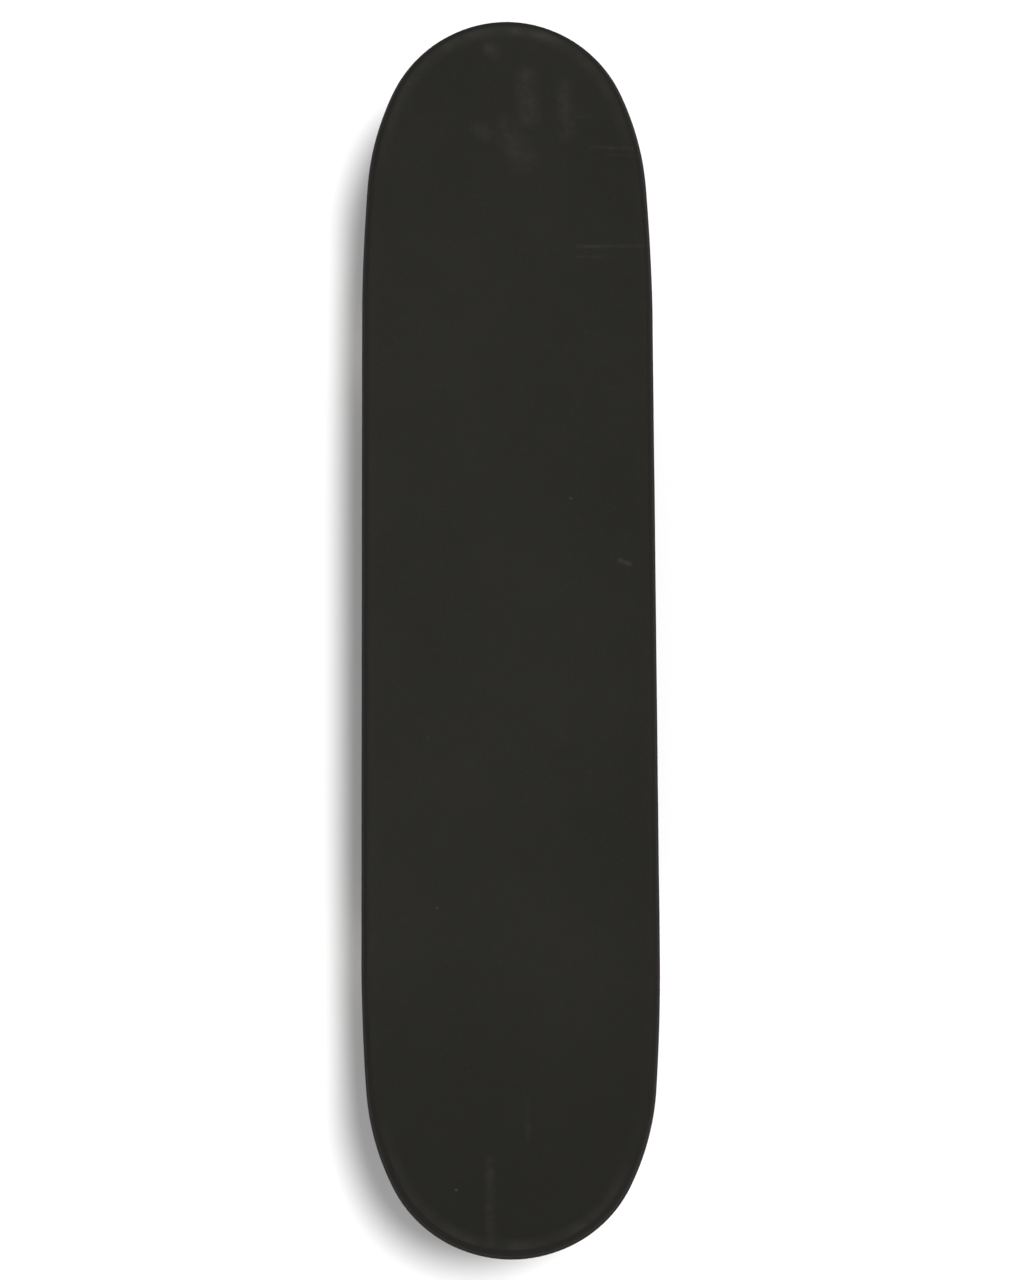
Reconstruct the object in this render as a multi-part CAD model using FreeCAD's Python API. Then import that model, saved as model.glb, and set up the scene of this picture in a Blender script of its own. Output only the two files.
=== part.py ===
"""A complete skateboard: a seven-ply maple deck under grip tape, two kingpin trucks and four wheels.

The board stands on its wheels. +X points to the nose, +Y to the rider's left when facing the nose, +Z up.
The origin is on the ground under the middle of the deck. All sizes are in millimetres.
"""

import FreeCAD
import Part

import math
import os

V = FreeCAD.Vector

# ---------------------------------------------------------------- driving dimensions
# Deck: plan shape, cupped cross-section and kicked ends
PLY_THICKNESS = 1.5
PLY_COUNT = 7
DECK_HALF_WIDTH = 93.5          # on the top veneer
TIP_REACH = 406.0               # from mid-deck to either tip, along the top veneer
TIP_RADIUS = 81.0               # end outline: tip arc, shoulder arc, then a slack side arc
TIP_TURN = 64.5                 # degrees turned by the tip arc
SHOULDER_TURN = 20.8            # degrees turned by the shoulder arc
SIDE_RADIUS = 1080.0
CUP_FLAT_HALF = 30.0            # flat strip along the middle, which the baseplates bolt to
CUP_RISE = 9.0                  # how far the side edges stand above that strip
KICK_ANGLE = 20.0
KICK_RADIUS = 145.0             # of the top veneer, in side view
KICK_START = 10.0               # bend starts this far outside the outer truck bolts
EDGE_ROUND = 2.2
GRIP_THICKNESS = 0.8
GRIP_SETBACK = 2.0              # grip tape is trimmed where the deck's edge starts to round

# Trucks: where they bolt on, and the triangle of axle, kingpin ring and pivot
BOLT_SPACING_X = 54.0
BOLT_SPACING_Y = 41.3
INNER_BOLT_GAP = 355.6          # 14 inch wheelbase, between the inner bolts
TRUCK_MIDDLE = -4.0             # the nose is this much longer than the tail, twice over
AXLE_DROP = 53.0                # deck to axle
RING_AHEAD, RING_DROP = 18.0, 42.0      # kingpin ring centre, towards mid-deck and down
PIVOT_BEHIND, PIVOT_DROP = 24.0, 16.0   # pivot ball centre, towards the tip and down
KINGPIN_RAKE = 25.0             # kingpin from the vertical, its nut towards mid-deck
BASE_LENGTH, BASE_WIDTH, BASE_THICKNESS = 84.0, 56.0, 6.0
BASE_CORNER, BASE_EDGE = 11.0, 1.6
KINGPIN_BOSS_END, KINGPIN_BOSS_ROOT = 14.2, 18.0    # radii of the baseplate's tapered bosses
PIVOT_BOSS_END, PIVOT_BOSS_ROOT = 10.8, 13.0
RIB_THICKNESS = 7.0             # rib from the kingpin boss to the plate's inner end
HANGER_HALF = 61.5
HANGER_MIDDLE_RADIUS, HANGER_WAIST_RADIUS, HANGER_END_RADIUS = 12.0, 10.0, 8.5
RING_WEB_ROOT, RING_WEB_TIP, RING_WEB = 38.0, 14.5, 9.0     # half widths and thickness
PIVOT_WEB_ROOT, PIVOT_WEB_TIP, PIVOT_WEB = 30.0, 6.5, 8.0
AXLE_HALF = 95.2
AXLE_RADIUS = 3.97              # 5/16 inch
AXLE_CHAMFER = 0.7

# Kingpin stack
KINGPIN_RADIUS = 4.76           # 3/8 inch
KINGPIN_FLATS = 14.3
HEAD_THICKNESS = 6.0
HEAD_SINK = 4.4                 # head's top below the deck face, along the kingpin
RING_THICKNESS = 9.0
RING_RADIUS = 16.0
RING_HOLE_RADIUS = 8.0
SEAT_RADIUS = 12.7
SEAT_LIP = 1.2
RING_EDGE = 1.0
BUSHING_RADIUS = 12.4
LOWER_BUSHING = 13.5            # board-side barrel bushing
UPPER_BUSHING = 10.0            # road-side cone bushing
CONE_END_RADIUS = 8.8
BUSHING_EASE = 1.2              # rounding of the bushings' edges
BUSHING_BORE_GAP = 0.24
SPIGOT_RADIUS, SPIGOT = 7.6, 2.0
WASHER = 1.5
WASHER_BORE_GAP = 0.19
WASHER_RIM, WASHER_LIP = 1.1, 1.8       # wall and height of the cup washer's lip
FLAT_WASHER_MARGIN = 1.9
KINGPIN_NUT = 8.0
THREAD_END = 1.5                # how far a thread stands out of its nut

# Pivot
PIVOT_BALL_RADIUS = 4.9
PIVOT_CUP_RADIUS = 7.9
PIVOT_CUP_DEPTH = 8.0           # cup bottom beyond the ball's centre
PIVOT_CUP_MOUTH = 5.0           # cup mouth before the ball's centre
PIVOT_CUP_GAP = 0.05            # round the ball
PIVOT_CUP_FLARE = 0.9           # how much wider the cup is a little past its mouth
NECK_RADIUS, NECK_LENGTH = 4.2, 9.0
ARM_RADIUS, ARM_END_RADIUS = 10.5, 6.2

# Wheels and bearings
WHEEL_RADIUS = 26.0
WHEEL_WIDTH = 32.0
TREAD_BEVEL, TREAD_BEVEL_WIDTH = 5.0, 6.5
TREAD_ROUND, FACE_ROUND, DISH_ROUND = 5.0, 3.0, 1.5
DISH_RADIUS, SEAT_EDGE_RADIUS = 16.5, 12.0
SEAT_LAND_RADIUS = 9.4          # the urethane step between the two bearing seats
BEARING_BORE, BEARING_OUTER, BEARING_WIDTH = 4.0, 11.0, 7.0
INNER_LAND, OUTER_LAND = 5.9, 9.2       # facing shoulders of the two races
BALL_RADIUS, BALL_CIRCLE, BALLS = 1.984, 7.5, 7
GROOVE_RADIUS = 2.05
SHIELD, SHIELD_DEPTH, SHIELD_GAP = 0.5, 0.35, 0.25  # thickness, depth below the face, gap to the inner race
CAGE_INNER, CAGE_OUTER = 6.6, 8.4
CAGE_BACK, CAGE_FRONT = 2.4, 0.9        # the crown cage each side of the balls' plane
CAGE_POCKET_GAP = 0.1
SPACER_LENGTH = 10.0
SPACER_OUTER, SPACER_GAP = 5.2, 0.08
SPEED_RING, SPEED_RING_GAP = 1.0, 0.05
AXLE_NUT, AXLE_NUT_FLATS = 6.5, 12.7

# Truck bolts
BOLT_RADIUS = 2.4
BOLT_CLEARANCE = 0.2
BOLT_HEAD_RADIUS = 4.6
BOLT_HEAD = 2.3
BOLT_NUT, BOLT_NUT_FLATS = 5.0, 9.5
BOLT_SOCKET_FLATS, BOLT_SOCKET = 3.2, 1.6

# Working allowances
SPARE = 12.0                    # how far deck layers run past the outline before they are cut to it
OVERRUN = 1.0                   # how far a cutter stands out of what it cuts
OUTLINE_STEPS = 14              # points along each arc of an end outline

# ---------------------------------------------------------------- worked out from them
DECK_THICKNESS = PLY_COUNT * PLY_THICKNESS
DECK_BOTTOM_Z = WHEEL_RADIUS + AXLE_DROP
DECK_TOP_Z = DECK_BOTTOM_Z + DECK_THICKNESS
TRUCK_OFFSET = (INNER_BOLT_GAP + BOLT_SPACING_X) / 2
FRONT_X = TRUCK_MIDDLE + TRUCK_OFFSET
REAR_X = TRUCK_MIDDLE - TRUCK_OFFSET
NOSE_BEND = FRONT_X + BOLT_SPACING_X / 2 + KICK_START
TAIL_BEND = -(REAR_X - BOLT_SPACING_X / 2 - KICK_START)
CUP_REACH = DECK_HALF_WIDTH - CUP_FLAT_HALF
CUP_CURVE = (CUP_REACH**2 + CUP_RISE**2) / (2 * CUP_RISE)
KICK = math.radians(KICK_ANGLE)

AXLE = V(0, 0, -AXLE_DROP)              # truck frame: x to mid-deck, z up, deck face at z = 0
RING = V(RING_AHEAD, 0, -RING_DROP)
PIVOT = V(-PIVOT_BEHIND, 0, -PIVOT_DROP)
RAKE = math.radians(KINGPIN_RAKE)
DOWN_KINGPIN = V(math.sin(RAKE), 0, -math.cos(RAKE))
DOWN_ARM = (AXLE - PIVOT).normalize()
SEAT_TO_RING = WASHER + LOWER_BUSHING + RING_THICKNESS / 2
KINGPIN_TOP = RING - DOWN_KINGPIN * (RING_DROP / math.cos(RAKE))    # where its axis meets the deck face


# ---------------------------------------------------------------- small helpers
def along(shape, start, direction):
    """A shape made along +Z, moved to start and turned to point along direction."""
    moved = shape.copy()
    moved.Placement = FreeCAD.Placement(start, FreeCAD.Rotation(V(0, 0, 1), direction))
    return moved


def rod(radius, length, start=V(), direction=V(0, 0, 1)):
    return along(Part.makeCylinder(radius, length), start, direction)


def cone(radius, end_radius, length, start=V(), direction=V(0, 0, 1)):
    return along(Part.makeCone(radius, end_radius, length), start, direction)


def tube(inner, outer, length, start=V(), direction=V(0, 0, 1)):
    ring = Part.makeCylinder(outer, length).cut(Part.makeCylinder(inner, length))
    return along(ring, start, direction)


def hexagon(flats, length, start=V(), direction=V(0, 0, 1)):
    corner = flats / math.sqrt(3)
    turns = [math.radians(60 * i) for i in range(7)]
    wire = Part.makePolygon([V(corner * math.cos(t), corner * math.sin(t), 0) for t in turns])
    return along(Part.Face(wire).extrude(V(0, 0, length)), start, direction)


def turned(profile):
    """A solid turned about +Z from (radius, height) corners, each with an optional rounding radius."""
    corners = [V(corner[0], 0, corner[1]) for corner in profile]
    roundings = [corner[2] if len(corner) > 2 else 0 for corner in profile]
    edges, entries, exits = [], [], []
    for i, (corner, rounding) in enumerate(zip(corners, roundings)):
        back = (corners[i - 1] - corner).normalize()
        ahead = (corners[(i + 1) % len(corners)] - corner).normalize()
        half_angle = back.getAngle(ahead) / 2
        setback = rounding / math.tan(half_angle)
        entries.append(corner + back * setback)
        exits.append(corner + ahead * setback)
        if rounding:
            middle = corner + (back + ahead).normalize() * (rounding / math.sin(half_angle) - rounding)
            edges.append(Part.Arc(entries[i], middle, exits[i]).toShape())
    for i, exit_point in enumerate(exits):
        next_entry = entries[(i + 1) % len(corners)]
        if (next_entry - exit_point).Length > 1e-6:
            edges.append(Part.makeLine(exit_point, next_entry))
    face = Part.Face(Part.Wire(Part.__sortEdges__(edges)))
    return face.revolve(V(), V(0, 0, 1), 360)


def fused(shapes):
    return shapes[0].multiFuse(shapes[1:]).removeSplitter()


def as_group(shapes):
    """Several separate solids in one node."""
    return Part.Compound([solid for shape in shapes for solid in shape.Solids])


# ---------------------------------------------------------------- deck
def cup_edges(depth, reach):
    """The cross-section's line at one depth: flat in the middle, an arc up to each side."""
    radius = CUP_CURVE + depth

    def arc_point(side, turn):
        across = CUP_FLAT_HALF + radius * math.sin(turn)
        return V(0, side * across, CUP_CURVE - radius * math.cos(turn))

    full = math.asin((reach - CUP_FLAT_HALF) / CUP_CURVE)
    sides = []
    for side in (-1, 1):
        points = [arc_point(side, turn) for turn in (0, full / 2, full)]
        sides.append((Part.Arc(*points).toShape(), points[0], points[-1]))
    (left, left_in, left_out), (right, right_in, right_out) = sides
    return [left, Part.makeLine(left_in, right_in), right], left_out, right_out


def deck_layer(top_depth, bottom_depth):
    """A layer of the deck between two depths below its top face, wider and longer than the deck."""
    reach = DECK_HALF_WIDTH + SPARE
    upper, upper_left, upper_right = cup_edges(top_depth, reach)
    lower, lower_left, lower_right = cup_edges(bottom_depth, reach)
    ends = [Part.makeLine(upper_left, lower_left), Part.makeLine(upper_right, lower_right)]
    wire = Part.Wire(Part.__sortEdges__(upper + lower + ends))
    section = Part.Face(wire)
    pieces = []
    for side, bend in ((1, NOSE_BEND), (-1, TAIL_BEND)):
        start = section.copy()
        start.translate(V(side * bend, 0, DECK_TOP_Z))
        pieces.append(start.extrude(V(-side * bend, 0, 0)))
        hub = V(side * bend, 0, DECK_TOP_Z + KICK_RADIUS)
        pieces.append(start.revolve(hub, V(0, -side, 0), KICK_ANGLE))
        end = start.copy()
        end.rotate(hub, V(0, -side, 0), KICK_ANGLE)
        run = TIP_REACH - bend - KICK_RADIUS * KICK + SPARE
        pieces.append(end.extrude(V(side * math.cos(KICK), 0, math.sin(KICK)) * run))
    return fused(pieces)


def sheet_point(u, v):
    """The point of the deck's top face u along it and v across it, and its upward normal."""
    side = 1 if u > 0 else -1
    bend = NOSE_BEND if u > 0 else TAIL_BEND
    past = max(abs(u) - bend, 0)
    turn = min(past / KICK_RADIUS, KICK)
    straight = max(past - KICK_RADIUS * KICK, 0)
    spine_x = min(abs(u), bend) + KICK_RADIUS * math.sin(turn) + straight * math.cos(KICK)
    spine_z = KICK_RADIUS * (1 - math.cos(turn)) + straight * math.sin(KICK)
    across = max(abs(v) - CUP_FLAT_HALF, 0)
    lean = math.asin(across / CUP_CURVE)
    rise = CUP_CURVE * (1 - math.cos(lean))
    up = V(-side * math.sin(turn), 0, math.cos(turn))
    point = V(side * spine_x, v, DECK_TOP_Z + spine_z) + up * rise
    normal = up * math.cos(lean) - V(0, math.copysign(math.sin(lean), v), 0)
    return point, normal


def end_outline(inset):
    """(distance back from the tip, half width) along one side of an end, tip first."""
    first = math.radians(TIP_TURN)
    second = first + math.radians(SHOULDER_TURN)
    shoulder = DECK_HALF_WIDTH - TIP_RADIUS * math.sin(first) - SIDE_RADIUS * (1 - math.sin(second))
    shoulder /= math.sin(second) - math.sin(first)
    arcs = [
        (TIP_RADIUS - inset, 0, first),
        (shoulder - inset, first, second),
        (SIDE_RADIUS - inset, second, math.pi / 2),
    ]
    points = [(inset, 0)]
    for radius, start, stop in arcs:
        back, half = points[-1]
        for i in range(1, OUTLINE_STEPS + 1):
            turn = start + (stop - start) * i / OUTLINE_STEPS
            points.append(
                (
                    back + radius * (math.cos(start) - math.cos(turn)),
                    half + radius * (math.sin(turn) - math.sin(start)),
                )
            )
    return points


def outline_cutter(inset):
    """A block with the deck's outline, its walls square to the deck's own faces all round."""
    below_deck, above_tips = 25, 68
    levels = (DECK_TOP_Z - below_deck, DECK_TOP_Z + above_tips)

    def at_level(u, v, level):
        point, normal = sheet_point(u, v)
        return point + normal * ((level - point.z) / normal.z)

    half = end_outline(inset)
    knot_centre = 150               # curve parameters are angles about a point this far from the tip
    across = half[1:][::-1] + [(half[0][0], 0)] + [(back, -width) for back, width in half[1:]]
    wires = []
    for level in levels:
        nose = [at_level(TIP_REACH - back, width, level) for back, width in across]
        tail = [at_level(-(TIP_REACH - back), -width, level) for back, width in across]
        curves = []
        for points in (nose, tail):
            turns = [math.atan2(width, knot_centre - back) for back, width in across]
            knots = [turns[0] - turn for turn in turns]
            curve = Part.BSplineCurve()
            curve.interpolate(Points=points, Parameters=knots)
            curves.append(curve.toShape())
        sides = [Part.makeLine(nose[-1], tail[0]), Part.makeLine(tail[-1], nose[0])]
        wires.append(Part.Wire([curves[0], sides[0], curves[1], sides[1]]))
    return Part.makeLoft(wires, True, True)


def rim_edges(solid):
    """The edges where the deck's side wall meets its top and bottom faces."""
    walls, skins = [], []
    for face in solid.Faces:
        middle = face.Surface.parameter(face.CenterOfMass)
        steep = abs(face.normalAt(*middle).z) < 0.5
        (walls if steep else skins).append(face)
    wall_edges = {edge.hashCode() for face in walls for edge in face.Edges}
    return [edge for face in skins for edge in face.Edges if edge.hashCode() in wall_edges]


def bolt_places():
    """Where the eight truck bolts pass through the deck."""
    return [
        V(truck + along_x * BOLT_SPACING_X / 2, side * BOLT_SPACING_Y / 2, 0)
        for truck in (FRONT_X, REAR_X)
        for along_x in (-1, 1)
        for side in (-1, 1)
    ]


def deck_bores():
    """What is cut from the deck for each bolt: a clearance hole and a countersink."""
    bores = []
    for place in bolt_places():
        hole = BOLT_RADIUS + BOLT_CLEARANCE
        head = BOLT_HEAD_RADIUS + BOLT_CLEARANCE
        top = V(place.x, place.y, DECK_TOP_Z)
        bores.append(rod(hole, DECK_THICKNESS + 2 * OVERRUN, top + V(0, 0, OVERRUN), V(0, 0, -1)))
        bores.append(cone(head, hole, BOLT_HEAD, top, V(0, 0, -1)))
    return bores


def deck_parts():
    deck = deck_layer(0, DECK_THICKNESS).common(outline_cutter(0))
    deck = deck.makeFillet(EDGE_ROUND, rim_edges(deck))
    deck = deck.cut(Part.Compound(deck_bores()))
    seams = [ply * PLY_THICKNESS for ply in range(PLY_COUNT + 1)]
    seams[0] -= OVERRUN
    seams[-1] += OVERRUN
    parts = {}
    for ply in range(PLY_COUNT):
        parts[f"deck_ply_{ply + 1}"] = deck.common(deck_layer(seams[ply], seams[ply + 1]))
    parts["grip_tape"] = deck_layer(-GRIP_THICKNESS, 0).common(outline_cutter(GRIP_SETBACK))
    return parts


def truck_bolt_parts():
    """The flat-head bolts, set flush in the top veneer under the grip tape, and their lock nuts."""
    bolts, nuts = [], []
    grip = DECK_THICKNESS + BASE_THICKNESS
    for place in bolt_places():
        top = V(place.x, place.y, DECK_TOP_Z)
        down = V(0, 0, -1)
        head = cone(BOLT_HEAD_RADIUS, BOLT_RADIUS, BOLT_HEAD, top, down)
        shank = rod(BOLT_RADIUS, grip + BOLT_NUT + THREAD_END, top, down)
        socket = hexagon(BOLT_SOCKET_FLATS, BOLT_SOCKET, top, down)
        bolts.append(head.fuse(shank).cut(socket).removeSplitter())
        nuts.append(lock_nut(BOLT_NUT_FLATS, BOLT_NUT, BOLT_RADIUS, top + down * grip, down))
    return {"mounting_bolts": as_group(bolts), "mounting_nuts": as_group(nuts)}


# ---------------------------------------------------------------- fasteners
def lock_nut(flats, height, bore, start, direction):
    """A hexagon with a round collar for its nylon insert, its first corner chamfered."""
    body = 0.72 * height
    corner = flats / math.sqrt(3)
    chamfer, chamfer_height = 0.09 * flats, 0.054 * flats
    collar_radius, collar_end_radius = 0.47 * flats, 0.40 * flats
    envelope = turned([(0, 0), (corner - chamfer, 0), (corner, chamfer_height), (corner, body), (0, body)])
    collar = cone(collar_radius, collar_end_radius, height - body, V(0, 0, body))
    nut = hexagon(flats, body).common(envelope).fuse(collar)
    nut = nut.cut(Part.makeCylinder(bore, height)).removeSplitter()
    return along(nut, start, direction)


def kingpin():
    head_top = KINGPIN_TOP + DOWN_KINGPIN * HEAD_SINK
    under_head = head_top + DOWN_KINGPIN * HEAD_THICKNESS
    tip = RING + DOWN_KINGPIN * (RING_THICKNESS / 2 + UPPER_BUSHING + WASHER + KINGPIN_NUT + THREAD_END)
    head = hexagon(KINGPIN_FLATS, HEAD_THICKNESS, head_top, DOWN_KINGPIN)
    chamfer = 0.8
    length = (tip - under_head).Length
    shank = rod(KINGPIN_RADIUS, length - chamfer, under_head, DOWN_KINGPIN)
    end = cone(KINGPIN_RADIUS, KINGPIN_RADIUS - chamfer, chamfer, tip - DOWN_KINGPIN * chamfer, DOWN_KINGPIN)
    return fused([head, shank, end])


# ---------------------------------------------------------------- truck, in its own frame
def mounting_plate():
    """The flat plate with rounded corners that bolts to the deck, top face at z = 0."""
    plate = Part.makeBox(BASE_LENGTH, BASE_WIDTH, BASE_THICKNESS)
    plate.translate(V(-BASE_LENGTH / 2, -BASE_WIDTH / 2, -BASE_THICKNESS))
    upright = [edge for edge in plate.Edges if abs(edge.tangentAt(edge.FirstParameter).z) > 0.9]
    plate = plate.makeFillet(BASE_CORNER, upright)
    lower = [edge for edge in plate.Edges if edge.BoundBox.ZMax < -BASE_THICKNESS + 0.1]
    return plate.makeFillet(BASE_EDGE, lower)


def rib_to_inner_end():
    """The upright rib that carries the kingpin boss's load to the plate's inner end."""
    hidden, start, end, heel, depth = -5, 16, 38, -8, -19
    corners = [(start, hidden), (end, hidden), (end, heel), (start + 5, depth), (start, depth)]
    wire = Part.makePolygon([V(x, -RIB_THICKNESS / 2, z) for x, z in corners + corners[:1]])
    return Part.Face(wire).extrude(V(0, RIB_THICKNESS, 0))


def bridge_between_bosses():
    length, width, depth, first = 26, 12, 13, -26
    bridge = Part.makeBox(length, width, depth - OVERRUN)
    bridge.translate(V(first, -width / 2, -depth))
    return bridge


def baseplate():
    """The plate with its kingpin boss and pivot boss, bored for the kingpin, its head and the cup."""
    seat = RING - DOWN_KINGPIN * SEAT_TO_RING
    seat_depth = (seat - KINGPIN_TOP).Length
    mouth = PIVOT + DOWN_ARM * PIVOT_CUP_MOUTH
    cup_length = PIVOT_CUP_MOUTH + PIVOT_CUP_DEPTH
    into_plate = 12
    bosses = [
        cone(KINGPIN_BOSS_END, KINGPIN_BOSS_ROOT, seat_depth + into_plate, seat, DOWN_KINGPIN * -1),
        cone(PIVOT_BOSS_END, PIVOT_BOSS_ROOT, cup_length + into_plate / 2, mouth, DOWN_ARM * -1),
    ]
    large = 200
    below_deck = Part.makeBox(large, large, large)
    below_deck.translate(V(-large / 2, -large / 2, -large))
    body = fused([mounting_plate(), rib_to_inner_end(), bridge_between_bosses()] + bosses).common(below_deck)

    bore_gap, pocket_gap, above = 0.14, 0.3, 8
    pocket = HEAD_SINK + HEAD_THICKNESS + above
    cuts = [
        rod(KINGPIN_RADIUS + bore_gap, seat_depth + 2 * OVERRUN, KINGPIN_TOP, DOWN_KINGPIN),
        hexagon(KINGPIN_FLATS + pocket_gap, pocket, KINGPIN_TOP - DOWN_KINGPIN * above, DOWN_KINGPIN),
        rod(PIVOT_CUP_RADIUS, cup_length, mouth, DOWN_ARM * -1),
    ]
    for along_x in (-1, 1):
        for side in (-1, 1):
            place = V(along_x * BOLT_SPACING_X / 2, side * BOLT_SPACING_Y / 2, OVERRUN)
            hole = BOLT_RADIUS + BOLT_CLEARANCE
            cuts.append(rod(hole, BASE_THICKNESS + 2 * OVERRUN, place, V(0, 0, -1)))
    return body.cut(Part.Compound(cuts)).removeSplitter()


def pivot_cup():
    """A plastic cup with a round bottom for the hanger's ball, and room for its neck to tilt."""
    mouth = PIVOT + DOWN_ARM * PIVOT_CUP_MOUTH
    cup = rod(PIVOT_CUP_RADIUS, PIVOT_CUP_MOUTH + PIVOT_CUP_DEPTH, mouth, DOWN_ARM * -1)
    inside = PIVOT_BALL_RADIUS + PIVOT_CUP_GAP
    cavity = Part.makeSphere(inside, PIVOT)
    entry = cone(inside, inside + PIVOT_CUP_FLARE, PIVOT_CUP_MOUTH + OVERRUN, PIVOT, DOWN_ARM)
    return cup.cut(cavity.fuse(entry)).removeSplitter()


def bushings():
    """The barrel above the hanger's ring and the cone below it, each with a spigot in the ring."""
    bore = KINGPIN_RADIUS + BUSHING_BORE_GAP
    ease = BUSHING_EASE
    half_ring = RING_THICKNESS / 2
    spigot = [(bore, -SPIGOT), (SPIGOT_RADIUS, -SPIGOT), (SPIGOT_RADIUS, 0)]
    barrel = turned(
        spigot
        + [
            (BUSHING_RADIUS, 0, ease),
            (BUSHING_RADIUS, LOWER_BUSHING, ease),
            (bore, LOWER_BUSHING),
        ]
    )
    taper = turned(
        spigot
        + [
            (BUSHING_RADIUS, 0, ease),
            (BUSHING_RADIUS, 2.5 * ease, ease),
            (CONE_END_RADIUS, UPPER_BUSHING, ease),
            (bore, UPPER_BUSHING),
        ]
    )
    return (
        along(barrel, RING - DOWN_KINGPIN * half_ring, DOWN_KINGPIN * -1),
        along(taper, RING + DOWN_KINGPIN * half_ring, DOWN_KINGPIN),
    )


def washers():
    """A cup washer for the barrel bushing, lip round the bushing, and a flat one for the cone."""
    bore = KINGPIN_RADIUS + WASHER_BORE_GAP
    lip_inside = BUSHING_RADIUS + 0.1 * WASHER
    lip_outside = lip_inside + WASHER_RIM
    cup = turned(
        [
            (bore, 0),
            (lip_outside, 0, WASHER / 2),
            (lip_outside, WASHER + WASHER_LIP),
            (lip_inside, WASHER + WASHER_LIP),
            (lip_inside, WASHER),
            (bore, WASHER),
        ]
    )
    flat_radius = CONE_END_RADIUS + FLAT_WASHER_MARGIN
    flat = turned([(bore, 0), (flat_radius, 0), (flat_radius, WASHER, WASHER / 2.5), (bore, WASHER)])
    seat = RING - DOWN_KINGPIN * SEAT_TO_RING
    under_cone = RING + DOWN_KINGPIN * (RING_THICKNESS / 2 + UPPER_BUSHING)
    return along(cup, seat, DOWN_KINGPIN), along(flat, under_cone, DOWN_KINGPIN)


def web(towards, root_half, tip_half, reach, thickness):
    """A tapering web from the axle line towards a point, with its slanted edges rounded."""
    out = (towards - AXLE).normalize()
    normal = out.cross(V(0, 1, 0))
    corners = [
        AXLE - V(0, root_half, 0),
        AXLE + out * reach - V(0, tip_half, 0),
        AXLE + out * reach + V(0, tip_half, 0),
        AXLE + V(0, root_half, 0),
    ]
    wire = Part.makePolygon([corner - normal * (thickness / 2) for corner in corners + corners[:1]])
    sheet = Part.Face(wire).extrude(normal * thickness)
    along_y = [abs(edge.tangentAt(edge.FirstParameter).y) for edge in sheet.Edges]
    slanted = [edge for edge, share in zip(sheet.Edges, along_y) if 0.3 < share < 0.95]
    return sheet.makeFillet(thickness * 0.35, slanted)


def hanger_arm():
    """One waisted arm, turned about +Z from the hanger's middle to its end."""
    middle, end = V(HANGER_MIDDLE_RADIUS, 0, 0), V(HANGER_END_RADIUS, 0, HANGER_HALF)
    waist = V(HANGER_WAIST_RADIUS, 0, HANGER_HALF / 2)
    centre_end = V(0, 0, HANGER_HALF)
    profile = [
        Part.Arc(middle, waist, end).toShape(),
        Part.makeLine(end, centre_end),
        Part.makeLine(centre_end, V()),
        Part.makeLine(V(), middle),
    ]
    return Part.Face(Part.Wire(profile)).revolve(V(), V(0, 0, 1), 360)


def hanger():
    """The cast T: tapering arms round the axle, the ring on the kingpin and the arm to the pivot."""
    arm_blank = hanger_arm()
    arms = [along(arm_blank, AXLE, V(0, side, 0)) for side in (-1, 1)]

    half_ring = RING_THICKNESS / 2
    lipped = half_ring + SEAT_LIP
    ring = rod(RING_RADIUS, 2 * lipped, RING - DOWN_KINGPIN * lipped, DOWN_KINGPIN)
    ring = ring.makeFillet(RING_EDGE, [edge for edge in ring.Edges if edge.Closed])
    ring_web = web(RING, RING_WEB_ROOT, RING_WEB_TIP, (RING - AXLE).Length, RING_WEB)

    arm_reach = (AXLE - PIVOT).Length - NECK_LENGTH
    below_neck = 3
    pivot_web = web(PIVOT, PIVOT_WEB_ROOT, PIVOT_WEB_TIP, arm_reach - below_neck, PIVOT_WEB)
    pivot_arm = cone(ARM_RADIUS, ARM_END_RADIUS, arm_reach, AXLE, DOWN_ARM * -1)
    neck = rod(NECK_RADIUS, NECK_LENGTH, PIVOT, DOWN_ARM)
    ball = Part.makeSphere(PIVOT_BALL_RADIUS, PIVOT)
    body = fused(arms + [ring, ring_web, pivot_web, pivot_arm, neck, ball])

    clear = 18.0
    through_ring = 2 * RING_RADIUS
    cuts = [
        rod(RING_HOLE_RADIUS, through_ring, RING - DOWN_KINGPIN * (through_ring / 2), DOWN_KINGPIN),
        rod(SEAT_RADIUS, clear, RING + DOWN_KINGPIN * half_ring, DOWN_KINGPIN),
        rod(SEAT_RADIUS, clear, RING - DOWN_KINGPIN * half_ring, DOWN_KINGPIN * -1),
        rod(AXLE_RADIUS, 2 * (HANGER_HALF + OVERRUN), AXLE - V(0, HANGER_HALF + OVERRUN, 0), V(0, 1, 0)),
    ]
    return body.cut(Part.Compound(cuts)).removeSplitter()


def axle():
    bar = rod(AXLE_RADIUS, 2 * AXLE_HALF, AXLE - V(0, AXLE_HALF, 0), V(0, 1, 0))
    return bar.makeChamfer(AXLE_CHAMFER, [edge for edge in bar.Edges if edge.Closed])


def axle_stack():
    """Distances from the board's middle to each face along one end of the axle."""
    faces = {"inner_ring": HANGER_HALF}
    faces["inner_bearing"] = faces["inner_ring"] + SPEED_RING
    faces["spacer"] = faces["inner_bearing"] + BEARING_WIDTH
    faces["outer_bearing"] = faces["spacer"] + SPACER_LENGTH
    faces["outer_ring"] = faces["outer_bearing"] + BEARING_WIDTH
    faces["nut"] = faces["outer_ring"] + SPEED_RING
    return faces


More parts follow.
